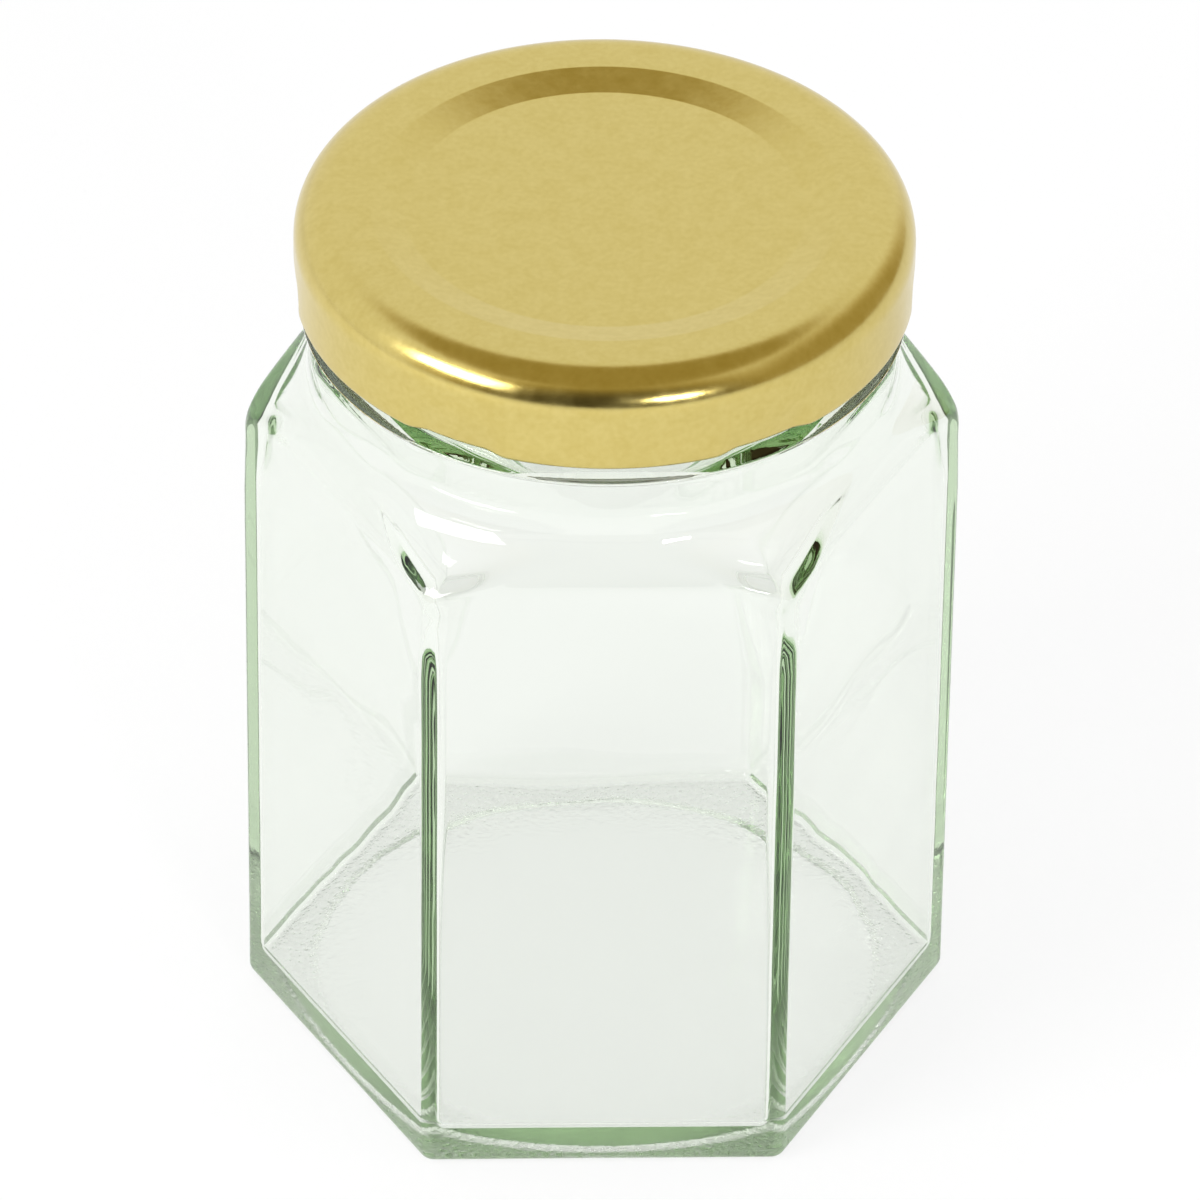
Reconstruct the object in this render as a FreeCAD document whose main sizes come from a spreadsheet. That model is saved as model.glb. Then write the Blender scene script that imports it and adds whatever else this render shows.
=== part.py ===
import FreeCAD, Part
import math
import os

import Sketcher
from FreeCAD import Placement, Rotation, Vector

# Hexagonal preserving jar with a lug cap: a moulded glass jar whose six flat panels run up into a
# turned shoulder and a round neck, a pressed sheet metal lid, and the sealing ring inside the lid.
# Millimetres, +Z up. The origin is the centre of the base, and two panels face -Y and +Y.

TIGHT = 1e-3     # mm; closer than this counts as the same place

doc = FreeCAD.newDocument("hexagonal_jar")

# ---------------------------------------------------------------------------------------------
# Driving dimensions
# ---------------------------------------------------------------------------------------------
sizes = doc.addObject("Spreadsheet::Sheet", "sizes")
DRIVING = [
    # jar body
    ("acrossFlats", 67.0, "width over two opposite panels"),
    ("jarHeight", 103.4, "base to the sealing rim"),
    ("cornerRadius", 1.8, "upright outer edges"),
    ("heelRadius", 1.5, "outer edge round the base"),
    ("wallThickness", 2.6, "glass of a panel"),
    ("baseThickness", 3.4, "glass of the base at the bearing ring"),
    ("innerCornerRadius", 1.6, "upright inner edges"),
    ("innerHeelRadius", 1.5, "inner edge round the base"),
    ("pushUp", 1.1, "rise of the dished underside"),
    ("bearingWidth", 6.5, "flat ring that the jar stands on, in from the panels"),
    # shoulder
    ("leanRise", 2.919, "start of a panel's lean, down from where it would meet the shoulder"),
    ("panelLean", 19.0, "how far it leans in above there, in degrees from upright"),
    ("shoulderAngle", 42.0, "slope of the shoulder from level, in degrees"),
    ("shoulderRadius", 4.0, "rounding of the corner tops into the shoulder"),
    ("innerShoulderRadius", 7.0, "the same on the inside"),
    ("shoulderWall", 1.9, "glass of the shoulder"),
    ("neckFillet", 1.6, "hollow between the shoulder and the neck"),
    # neck and finish
    ("neckLength", 7.5, "top of the shoulder up to the bead"),
    ("neckStep", 1.2, "how far the neck stands out from the wall between the threads"),
    ("beadReach", 0.9, "how far the transfer bead stands out from the neck"),
    ("beadDrop", 2.8, "lower edge of the lid down to the bead's lower side"),
    ("beadRound", 0.7, "rounding of the bead's lower edge"),
    ("beadSlope", 40.0, "slope of the bead's upper side from level, in degrees"),
    ("finishRadius", 30.1, "neck wall between the threads"),
    ("finishWall", 2.5, "glass of the neck between the threads"),
    ("rimRadius", 0.9, "both edges of the sealing rim"),
    ("threadReach", 1.1, "how far a thread stands off the neck"),
    ("threadRoot", 2.2, "width of a thread at the neck"),
    ("threadCrest", 0.8, "width of a thread at its crest"),
    ("threadSweep", 42.0, "angle that each thread start covers"),
    ("threadLead", 2.0, "slope of each thread start, in degrees"),
    ("threadGap", 0.35, "thread above the lug's top, at the middle of its length"),
    ("lugCount", 6, "thread starts on the neck and lugs in the lid"),
    # lid
    ("lidHeight", 11.0, "lid from its curl to its top"),
    ("sheetThickness", 0.25, "lacquered tinplate"),
    ("lidEdgeRadius", 4.2, "rounding of the lid's top edge"),
    ("channelWall", 0.8, "step down to the centre panel, in from the sealing ring"),
    ("panelStepWidth", 3.7, "width of that step"),
    ("panelDepth", 0.87, "depth of the centre panel"),
    ("bendRadius", 1.0, "bends at the top and the foot of that step"),
    ("curlSize", 1.6, "thickness and height of the rolled lower edge"),
    ("curlClear", 0.1, "gap between the curl and the crests of the threads"),
    ("lugClear", 0.2, "gap between a lug and the neck"),
    ("lugSweep", 15.0, "angle that a lug covers"),
    ("lugLift", 0.3, "lug above the lower edge of the curl"),
    ("lugHeight", 1.0, "thickness of a lug"),
    ("dentDepth", 0.45, "how far the skirt is pressed in at a lug"),
    ("dentHeight", 5.0, "height of that press mark"),
    ("dentRadius", 28.0, "radius of the press mark's tool"),
    # sealing ring
    ("ringInset", 1.9, "how far the sealing ring reaches in past the mouth"),
    ("ringOutset", 0.5, "how far it reaches out past the rim"),
    ("ringThickness", 1.05, "sealing ring between the rim and the lid"),
]
for row, (alias, value, note) in enumerate(DRIVING, start=1):
    sizes.set(f"A{row}", note)
    sizes.set(f"B{row}", str(value))
    sizes.setAlias(f"B{row}", alias)
doc.recompute()

SPARE = "1"      # how far a cutting profile runs on past what it cuts
SUNK = "0.4"     # how deep a thread profile starts inside the neck
CLEAR = "0.05"   # least by which a corner's rounding exceeds the round that runs into it
LAP = "4"        # how far the turned neck runs down into the panels

# Sizes worked out from the sheet, as expressions
SIDE = "sizes.acrossFlats / sqrt(3)"
INNER_SIDE = "(sizes.acrossFlats / 2 - sizes.wallThickness) * 2 / sqrt(3)"
HALF_WIDTH = "(sizes.acrossFlats / 2)"
SLOPE = "sizes.shoulderAngle"
# heights, from the rim down
LID_TOP = "(sizes.jarHeight + sizes.ringThickness + sizes.sheetThickness)"
LID_BOTTOM = f"({LID_TOP} - sizes.lidHeight)"
BEAD_BOTTOM = f"({LID_BOTTOM} - sizes.beadDrop)"
SHOULDER_TOP = f"({BEAD_BOTTOM} - sizes.neckLength)"
# radii, from the wall between the threads
NECK = "(sizes.finishRadius + sizes.neckStep)"
BEAD = f"({NECK} + sizes.beadReach)"
BORE = "(sizes.finishRadius - sizes.finishWall)"
LID = "(sizes.curlSize + sizes.curlClear + sizes.threadReach + sizes.finishRadius)"
LUG_INSIDE = "(sizes.finishRadius + sizes.lugClear)"
RING_INNER = f"({BORE} - sizes.ringInset)"
RING_OUTER = "(sizes.finishRadius + sizes.ringOutset)"
STEP_OUTER = f"({RING_INNER} - sizes.channelWall)"
STEP_INNER = f"({STEP_OUTER} - sizes.panelStepWidth)"


def value(expression):
    return float(sizes.evalExpression(expression.replace("sizes.", "")))


# ---------------------------------------------------------------------------------------------
# Sketch helpers
# ---------------------------------------------------------------------------------------------
def originFeature(body, role):
    return next(f for f in body.Origin.OriginFeatures if f.Role == role)


def newBody(name):
    return doc.addObject("PartDesign::Body", name)


def newSketch(body, name, plane, lift=None):
    sketch = body.newObject("Sketcher::SketchObject", name)
    sketch.AttachmentSupport = (originFeature(body, plane), [""])
    sketch.MapMode = "FlatFace"
    if lift:
        sketch.setExpression("AttachmentOffset.Base.z", lift)
    return sketch


def minorArc(start, end, radius, leftward):
    """The shorter arc from start to end whose centre lies left or right of the way there, as
    geometry that runs anticlockwise, and whether that turns it round."""
    chord = end - start
    half = chord.Length / 2
    reach = math.sqrt(max(radius * radius - half * half, 0.0))
    across = Vector(-chord.y, chord.x, 0).normalize()
    centre = (start + end) / 2 + across * (reach if leftward else -reach)
    first, last = (start, end) if leftward else (end, start)
    angles = [math.atan2(p.y - centre.y, p.x - centre.x) for p in (first, last)]
    circle = Part.Circle(centre, Vector(0, 0, 1), radius)
    return Part.ArcOfCircle(circle, *angles), not leftward


def outline(sketch, points):
    """A closed outline. Each point is (across, up) or, where an arc runs on from it to the next
    point, (across, up, radius, side), with the side of its centre. All are expressions."""
    places = [Vector(value(p[0]), value(p[1]), 0) for p in points]
    ends = []
    for i, point in enumerate(points):
        here, after = places[i], places[(i + 1) % len(places)]
        if len(point) == 2:
            sketch.addGeometry(Part.LineSegment(here, after), False)
            ends.append((1, 2))
        else:
            arc, turned = minorArc(here, after, value(point[2]), point[3] == "left")
            sketch.addGeometry(arc, False)
            ends.append((2, 1) if turned else (1, 2))
    for i in range(len(points)):
        following = (i + 1) % len(points)
        join(sketch, "Coincident", i, ends[i][1], following, ends[following][0])
    for i, point in enumerate(points):
        pin(sketch, i, ends[i][0], "DistanceX", point[0], places[i].x, -2)
        pin(sketch, i, ends[i][0], "DistanceY", point[1], places[i].y, -1)
        if len(point) > 2:
            index = join(sketch, "Radius", i, value(point[2]))
            sketch.setExpression(f"Constraints[{index}]", point[2])


def join(sketch, kind, *what):
    return sketch.addConstraint(Sketcher.Constraint(kind, *what))


def pin(sketch, edge, end, kind, expression, distance, axis):
    """Holds one coordinate of a point at an expression, or on the axis where that is zero."""
    if abs(distance) < TIGHT:
        join(sketch, "PointOnObject", edge, end, axis)
        return
    index = join(sketch, kind, -1, 1, edge, end, distance)
    sketch.setExpression(f"Constraints[{index}]", expression)


def hexagon(sketch, side):
    """A regular hexagon about the origin with two corners on the X axis."""
    reach = value(side)
    corners = [Vector(reach, 0, 0)]
    for k in range(1, 6):
        corners.append(Rotation(Vector(0, 0, 1), 60 * k).multVec(corners[0]))
    for k in range(6):
        sketch.addGeometry(Part.LineSegment(corners[k], corners[(k + 1) % 6]), False)
    sketch.addGeometry(Part.Circle(Vector(0, 0, 0), Vector(0, 0, 1), reach), True)
    for k in range(6):
        join(sketch, "Coincident", k, 2, (k + 1) % 6, 1)
        join(sketch, "PointOnObject", k, 1, 6)
    for k in range(5):
        join(sketch, "Equal", k, k + 1)
    join(sketch, "Coincident", 6, 3, -1, 1)
    join(sketch, "PointOnObject", 0, 1, -1)
    index = join(sketch, "Radius", 6, reach)
    sketch.setExpression(f"Constraints[{index}]", side)


# ---------------------------------------------------------------------------------------------
# Feature helpers
# ---------------------------------------------------------------------------------------------
def pad(body, name, sketch, length):
    feature = body.newObject("PartDesign::Pad", name)
    feature.Profile = sketch
    feature.setExpression("Length", length)
    doc.recompute()
    return feature


def revolve(body, name, sketch, cut=False, sweep=None):
    feature = body.newObject("PartDesign::Groove" if cut else "PartDesign::Revolution", name)
    feature.Profile = sketch
    feature.ReferenceAxis = (sketch, ["V_Axis"])
    feature.Angle = 360
    if sweep:
        feature.Midplane = True
        feature.setExpression("Angle", sweep)
    doc.recompute()
    return feature


def cutAcross(body, name, sketch):
    """Cuts the sketch's outline right through the body, to both sides of its plane."""
    feature = body.newObject("PartDesign::Pocket", name)
    feature.Profile = sketch
    feature.Type = "ThroughAll"
    feature.Midplane = True
    doc.recompute()
    return feature


def repeatRound(body, name, features, count):
    pattern = body.newObject("PartDesign::PolarPattern", name)
    pattern.Originals = features
    pattern.Axis = (originFeature(body, "Z_Axis"), [""])
    pattern.Angle = 360
    pattern.setExpression("Occurrences", count)
    body.Tip = pattern
    doc.recompute()
    return pattern


def roundEdges(body, name, base, wanted, radius):
    """Rounds the edges of base for which wanted(edge) is true."""
    names = [f"Edge{n}" for n, edge in enumerate(base.Shape.Edges, start=1) if wanted(edge)]
    feature = body.newObject("PartDesign::Fillet", name)
    feature.Base = (base, names)
    feature.setExpression("Radius", radius)
    doc.recompute()
    return feature


def upright(edge):
    ends = [v.Point for v in edge.Vertexes]
    return len(ends) == 2 and math.hypot(ends[0].x - ends[1].x, ends[0].y - ends[1].y) < TIGHT


def level(height):
    """A test for edges that lie level at this height."""

    def test(edge):
        box = edge.BoundBox
        return abs(box.ZMin - height) < TIGHT and abs(box.ZMax - height) < TIGHT

    return test


def shoulderPoints(reach, rounding, depth):
    """The shoulder's line as expressions: where the rounded corner tops start and end, for a
    shoulder that lies this depth inside the outer one and rounds off at this radius."""
    foot = f"({reach} - {rounding})"
    inset = f"({NECK} - {depth} * sin({SLOPE}))"
    crest = f"({SHOULDER_TOP} - {depth} * cos({SLOPE}))"
    centre = f"({crest} - ({rounding} + ({foot} - {inset}) * sin({SLOPE})) / cos({SLOPE}))"
    start = (reach, centre, rounding, "left")
    end = (f"{foot} + {rounding} * sin({SLOPE})", f"{centre} + {rounding} * cos({SLOPE})")
    return start, end, inset, crest


# ---------------------------------------------------------------------------------------------
# Glass: the outside
# ---------------------------------------------------------------------------------------------
CORNER_REACH = f"({SIDE} - sizes.cornerRadius * (2 / sqrt(3) - 1))"

outside = newBody("glassOutside")
hexSketch = newSketch(outside, "panelHexagon", "XY_Plane")
hexagon(hexSketch, SIDE)
panels = pad(outside, "panels", hexSketch, SHOULDER_TOP)
roundEdges(outside, "corners", panels, upright, "sizes.cornerRadius")

# the turned shoulder takes off what stands outside its cone
start, end, _, _ = shoulderPoints(CORNER_REACH, "sizes.shoulderRadius", "0")
shoulderSketch = newSketch(outside, "shoulderLine", "XZ_Plane")
outline(
    shoulderSketch,
    [
        start,
        end,
        (NECK, SHOULDER_TOP),
        (NECK, f"{SHOULDER_TOP} + {SPARE}"),
        (f"{SIDE} + {SPARE}", f"{SHOULDER_TOP} + {SPARE}"),
        (f"{SIDE} + {SPARE}", start[1]),
    ],
)
revolve(outside, "shoulder", shoulderSketch, cut=True)

# the top of each panel leans in, so that its arch stays low
PANEL_TOP = f"({SHOULDER_TOP} - ({HALF_WIDTH} - {NECK}) * tan({SLOPE}) - sizes.leanRise)"
LEAN_END = f"({SHOULDER_TOP} + {SPARE})"
leanSketch = newSketch(outside, "panelLeanLine", "YZ_Plane")
outline(
    leanSketch,
    [
        (HALF_WIDTH, PANEL_TOP),
        (f"{HALF_WIDTH} + {SPARE}", PANEL_TOP),
        (f"{HALF_WIDTH} + {SPARE}", LEAN_END),
        (f"{HALF_WIDTH} - ({LEAN_END} - {PANEL_TOP}) * tan(sizes.panelLean)", LEAN_END),
    ],
)
lean = cutAcross(outside, "panelLean", leanSketch)
leans = repeatRound(outside, "panelLeans", [lean], "6")

roundEdges(
    outside, "heel", leans, level(0), f"min(sizes.heelRadius; sizes.cornerRadius - {CLEAR})"
)

# neck, transfer bead and the wall that carries the threads
BEAD_EDGE = f"({BEAD_BOTTOM} + sizes.beadRound)"
BEAD_TOP = f"({BEAD_EDGE} + ({BEAD} - sizes.finishRadius) * tan(sizes.beadSlope))"
finishSketch = newSketch(outside, "finishProfile", "XZ_Plane")
outline(
    finishSketch,
    [
        ("0", f"{SHOULDER_TOP} - {LAP}"),
        (NECK, f"{SHOULDER_TOP} - {LAP}"),
        (NECK, BEAD_BOTTOM),
        (f"{BEAD} - sizes.beadRound", BEAD_BOTTOM, "sizes.beadRound", "left"),
        (BEAD, BEAD_EDGE),
        ("sizes.finishRadius", BEAD_TOP),
        ("sizes.finishRadius", "sizes.jarHeight - sizes.rimRadius", "sizes.rimRadius", "left"),
        ("sizes.finishRadius - sizes.rimRadius", "sizes.jarHeight"),
        ("0", "sizes.jarHeight"),
    ],
)
finish = revolve(outside, "finish", finishSketch)
roundEdges(
    outside, "neckHollow", finish, level(value(SHOULDER_TOP)), "sizes.neckFillet"
)


# One thread start is a short ring segment about an axis tipped by the lead, so that it rises
# anticlockwise. It starts a little before the lug that it holds down.
LUG_TOP = f"({LID_BOTTOM} + sizes.lugLift + sizes.lugHeight)"
threadSketch = newSketch(outside, "threadProfile", "XZ_Plane")
threadSketch.AttachmentOffset = Placement(Vector(), Rotation(Vector(1, 0, 0), 1))
threadSketch.setExpression("AttachmentOffset.Rotation.Angle", "sizes.threadLead")
threadSketch.setExpression("AttachmentOffset.Base.y", f"{LUG_TOP} + sizes.threadGap")
outline(
    threadSketch,
    [
        (f"sizes.finishRadius - {SUNK}", "0"),
        ("sizes.finishRadius + sizes.threadReach", "(sizes.threadRoot - sizes.threadCrest) / 2"),
        ("sizes.finishRadius + sizes.threadReach", "(sizes.threadRoot + sizes.threadCrest) / 2"),
        (f"sizes.finishRadius - {SUNK}", "sizes.threadRoot"),
    ],
)
thread = revolve(outside, "threadStart", threadSketch, sweep="sizes.threadSweep")
repeatRound(outside, "threads", [thread], "sizes.lugCount")

# the dished underside stands the jar on a ring of glass
DISH = f"({HALF_WIDTH} - sizes.bearingWidth)"
dishSketch = newSketch(outside, "dishProfile", "XZ_Plane")
outline(
    dishSketch,
    [
        ("0", "0"),
        (
            DISH,
            "0",
            f"({DISH} ^ 2 + sizes.pushUp ^ 2) / (2 * sizes.pushUp)",
            "left",
        ),
        ("0", "sizes.pushUp"),
    ],
)
revolve(outside, "dish", dishSketch, cut=True)

# ---------------------------------------------------------------------------------------------
# Glass: the inside
# ---------------------------------------------------------------------------------------------
# It is as wide as the panels less their wall, with larger rounds, as blown glass has.
INNER_REACH = f"({INNER_SIDE} - sizes.innerCornerRadius * (2 / sqrt(3) - 1))"

cavity = newBody("glassInside")
start, end, inset, crest = shoulderPoints(
    INNER_REACH, "sizes.innerShoulderRadius", "sizes.shoulderWall"
)
MOUTH_MEETS = f"({crest} + ({inset} - {BORE}) * tan({SLOPE}))"
innerSketch = newSketch(cavity, "innerHexagon", "XY_Plane", lift="sizes.baseThickness")
hexagon(innerSketch, INNER_SIDE)
innerPanels = pad(cavity, "innerPanels", innerSketch, f"{MOUTH_MEETS} - sizes.baseThickness")
roundEdges(cavity, "innerCorners", innerPanels, upright, "sizes.innerCornerRadius")
innerShoulderSketch = newSketch(cavity, "innerShoulderLine", "XZ_Plane")
outline(
    innerShoulderSketch,
    [
        start,
        end,
        (BORE, MOUTH_MEETS),
        (BORE, f"{MOUTH_MEETS} + {SPARE}"),
        (f"{INNER_SIDE} + {SPARE}", f"{MOUTH_MEETS} + {SPARE}"),
        (f"{INNER_SIDE} + {SPARE}", start[1]),
    ],
)
innerShoulder = revolve(cavity, "innerShoulder", innerShoulderSketch, cut=True)
roundEdges(
    cavity,
    "innerHeel",
    innerShoulder,
    level(value("sizes.baseThickness")),
    f"min(sizes.innerHeelRadius; sizes.innerCornerRadius - {CLEAR})",
)
mouthSketch = newSketch(cavity, "mouthProfile", "XZ_Plane")
outline(
    mouthSketch,
    [
        ("0", f"{MOUTH_MEETS} - {LAP}"),
        (BORE, f"{MOUTH_MEETS} - {LAP}"),
        (BORE, "sizes.jarHeight - sizes.rimRadius", "sizes.rimRadius", "right"),
        (f"{BORE} + sizes.rimRadius", "sizes.jarHeight"),
        (f"{BORE} + sizes.rimRadius", f"sizes.jarHeight + {SPARE}"),
        ("0", f"sizes.jarHeight + {SPARE}"),
    ],
)
revolve(cavity, "mouth", mouthSketch)

glass = doc.addObject("Part::Cut", "glassJar")
glass.Base = outside
glass.Tool = cavity
glass.Refine = True
glass.Label = "glass_jar"
glass.Placement = Placement()
doc.recompute()

# ---------------------------------------------------------------------------------------------
# Lid: pressed from one sheet, so its inside is its outside set in by the sheet
# ---------------------------------------------------------------------------------------------
def stepBends(body, name, base, depth):
    """Rounds the upper and lower ends of the sloping step, this deep in the sheet."""
    ends = [
        (value(STEP_OUTER), value(f"{LID_TOP} - {depth}")),
        (value(STEP_INNER), value(f"{LID_TOP} - sizes.panelDepth - {depth}")),
    ]

    def atEnd(edge):
        return any(
            level(height)(edge) and abs(edge.Length - 2 * math.pi * reach) < TIGHT
            for reach, height in ends
        )

    return roundEdges(body, name, base, atEnd, "sizes.bendRadius")


def pressMarks(body, name, depth):
    """Shallow cone-shaped hollows low in the skirt, one at each lug, this deep in the sheet."""
    mark = newSketch(body, f"{name}Profile", "XZ_Plane")
    face = f"({LID} - {depth})"
    axis = f"({face} - sizes.dentDepth + sizes.dentRadius)"
    outline(
        mark,
        [
            (f"{face} - sizes.dentDepth * (1 + {SPARE} / sizes.dentHeight)", f"{LID_BOTTOM} - {SPARE}"),
            (axis, f"{LID_BOTTOM} - {SPARE}"),
            (axis, f"{LID_BOTTOM} + sizes.dentHeight"),
            (face, f"{LID_BOTTOM} + sizes.dentHeight"),
        ],
    )
    groove = body.newObject("PartDesign::Groove", name)
    groove.Profile = mark
    groove.ReferenceAxis = (mark, ["Edge2"])
    groove.Angle = 360
    doc.recompute()
    return repeatRound(body, f"{name}All", [groove], "sizes.lugCount")


lidOutside = newBody("lidOutside")
outsideSketch = newSketch(lidOutside, "lidOutline", "XZ_Plane")
outline(
    outsideSketch,
    [
        ("0", LID_BOTTOM),
        (f"{LID} - sizes.curlSize / 2", LID_BOTTOM, "sizes.curlSize / 2", "left"),
        (LID, f"{LID_BOTTOM} + sizes.curlSize / 2"),
        (LID, f"{LID_TOP} - sizes.lidEdgeRadius", "sizes.lidEdgeRadius", "left"),
        (f"{LID} - sizes.lidEdgeRadius", LID_TOP),
        (STEP_OUTER, LID_TOP),
        (STEP_INNER, f"{LID_TOP} - sizes.panelDepth"),
        ("0", f"{LID_TOP} - sizes.panelDepth"),
    ],
)
blank = revolve(lidOutside, "lidBlank", outsideSketch)
stepBends(lidOutside, "stepBends", blank, "0")
pressMarks(lidOutside, "pressMark", "0")

# the hollow leaves the curl and the lugs standing
CURL_INSIDE = f"({LID} - sizes.curlSize)"
CURL_WIDTH = "(sizes.curlSize - sizes.sheetThickness)"
SKIRT_INSIDE = f"({LID} - sizes.sheetThickness)"
lidInside = newBody("lidInside")
insideSketch = newSketch(lidInside, "lidHollow", "XZ_Plane")
outline(
    insideSketch,
    [
        ("0", f"{LID_BOTTOM} - {SPARE}"),
        (f"{LID} - sizes.curlSize / 2", f"{LID_BOTTOM} - {SPARE}"),
        (f"{LID} - sizes.curlSize / 2", LID_BOTTOM, "sizes.curlSize / 2", "right"),
        (
            CURL_INSIDE,
            f"{LID_BOTTOM} + sizes.curlSize / 2",
            f"({CURL_WIDTH} ^ 2 + sizes.curlSize ^ 2 / 4) / (2 * {CURL_WIDTH})",
            "right",
        ),
        (SKIRT_INSIDE, f"{LID_BOTTOM} + sizes.curlSize"),
        (
            SKIRT_INSIDE,
            f"{LID_TOP} - sizes.lidEdgeRadius",
            "sizes.lidEdgeRadius - sizes.sheetThickness",
            "left",
        ),
        (f"{LID} - sizes.lidEdgeRadius", f"{LID_TOP} - sizes.sheetThickness"),
        (STEP_OUTER, f"{LID_TOP} - sizes.sheetThickness"),
        (STEP_INNER, f"{LID_TOP} - sizes.panelDepth - sizes.sheetThickness"),
        ("0", f"{LID_TOP} - sizes.panelDepth - sizes.sheetThickness"),
    ],
)
hollow = revolve(lidInside, "hollowBlank", insideSketch)
stepBends(lidInside, "innerStepBends", hollow, "sizes.sheetThickness")
pressMarks(lidInside, "innerMark", "sizes.sheetThickness")
lugSketch = newSketch(lidInside, "lugProfile", "XZ_Plane")
outline(
    lugSketch,
    [
        (LUG_INSIDE, f"{LID_BOTTOM} + sizes.lugLift"),
        (f"{SKIRT_INSIDE} + {SPARE}", f"{LID_BOTTOM} + sizes.lugLift"),
        (f"{SKIRT_INSIDE} + {SPARE}", LUG_TOP),
        (LUG_INSIDE, LUG_TOP),
    ],
)
lug = revolve(lidInside, "lug", lugSketch, cut=True, sweep="sizes.lugSweep")
repeatRound(lidInside, "lugs", [lug], "sizes.lugCount")

lid = doc.addObject("Part::Cut", "lidShell")
lid.Base = lidOutside
lid.Tool = lidInside
lid.Label = "lid"
lid.Placement = Placement()

# ---------------------------------------------------------------------------------------------
# Sealing ring: flowed into the lid's raised channel, and seated on the rim of the glass
# ---------------------------------------------------------------------------------------------
ringBlank = newBody("ringBlank")
ringSketch = newSketch(ringBlank, "ringProfile", "XZ_Plane")
outline(
    ringSketch,
    [
        (RING_INNER, "sizes.jarHeight"),
        (RING_OUTER, "sizes.jarHeight"),
        (RING_OUTER, LID_TOP),
        (RING_INNER, LID_TOP),
    ],
)
revolve(ringBlank, "ringTube", ringSketch)
ring = doc.addObject("Part::Common", "sealingRing")
ring.Base = ringBlank
ring.Tool = lidInside
ring.Label = "sealing_ring"
ring.Placement = Placement()
doc.recompute()

# ---------------------------------------------------------------------------------------------
# Check and write
# ---------------------------------------------------------------------------------------------
for item in doc.Objects:
    if "Invalid" in item.State or "Error" in item.State:
        raise RuntimeError(f"{item.Name} did not build: {item.State}")

os.makedirs("parts", exist_ok=True)
for piece in (glass, lid, ring):
    shape = piece.Shape
    if shape.isNull() or not shape.isValid() or len(shape.Solids) != 1:
        raise RuntimeError(f"{piece.Label} is not one sound solid")
    shape.exportStep(f"parts/{piece.Label}.step")
    print(piece.Label, round(shape.Volume / 1000, 2), "cm3")
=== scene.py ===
import bpy
import numpy as np
from mathutils import Matrix, Vector


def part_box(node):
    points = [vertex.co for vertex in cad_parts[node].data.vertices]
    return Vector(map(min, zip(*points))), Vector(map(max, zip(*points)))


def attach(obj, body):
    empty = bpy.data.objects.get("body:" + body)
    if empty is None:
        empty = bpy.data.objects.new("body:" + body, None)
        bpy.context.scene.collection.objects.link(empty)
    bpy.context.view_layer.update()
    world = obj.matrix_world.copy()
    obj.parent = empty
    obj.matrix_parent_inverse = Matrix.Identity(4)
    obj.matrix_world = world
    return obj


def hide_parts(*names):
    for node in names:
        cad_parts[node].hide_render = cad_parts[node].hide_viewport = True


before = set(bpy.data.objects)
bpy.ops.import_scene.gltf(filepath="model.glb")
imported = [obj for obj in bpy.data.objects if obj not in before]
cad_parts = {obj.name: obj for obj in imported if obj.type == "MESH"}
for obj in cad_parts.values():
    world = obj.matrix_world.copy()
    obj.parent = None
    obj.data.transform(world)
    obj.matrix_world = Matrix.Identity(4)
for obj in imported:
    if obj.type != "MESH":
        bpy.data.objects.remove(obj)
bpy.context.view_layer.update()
print("frame loaded:", sorted(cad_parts))

scene = bpy.context.scene
mm = 0.001                     # sizes are written in millimetres, meshes hold metres
sixth = np.radians(60.0)       # jar and lid repeat six times round the axis
hair = 0.05                    # the least radius or step where two rows would fall together


# A CAD node's extent along an axis and the height of its top, in millimetres.
def nodeSpan(name, axis):
    low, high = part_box(name)
    return round(float(high[axis] - low[axis]) / mm, 3)


def nodeTop(name):
    return round(float(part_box(name)[1][2]) / mm, 3)


# Angle from the middle of the nearest sixth of a turn.
def offMiddle(angles):
    return (angles + sixth / 2) % sixth - sixth / 2


# Shares of a way in equal steps, without its start.
def evenly(count):
    return np.linspace(0, 1, count + 1)[1:]


# Three t squared less two t cubed: from 0 to 1 with level ends.
def smoothStep(t):
    t = np.clip(t, 0.0, 1.0)
    return t * t * (3 - 2 * t)


# The lesser of two distances. Where they differ by less than the width, a parabola takes off up
# to a quarter of it, which rounds the crease between them.
def softLesser(a, b, width):
    share = np.clip(0.5 + 0.5 * (b - a) / width, 0.0, 1.0)
    return b * (1 - share) + a * share - width * share * (1 - share)


# Zero below nought and the value itself above, with a parabola between.
def softRise(x, width):
    return np.where(x < -width, 0.0, np.where(x > width, x, (x + width) ** 2 / (4 * width)))


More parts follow.
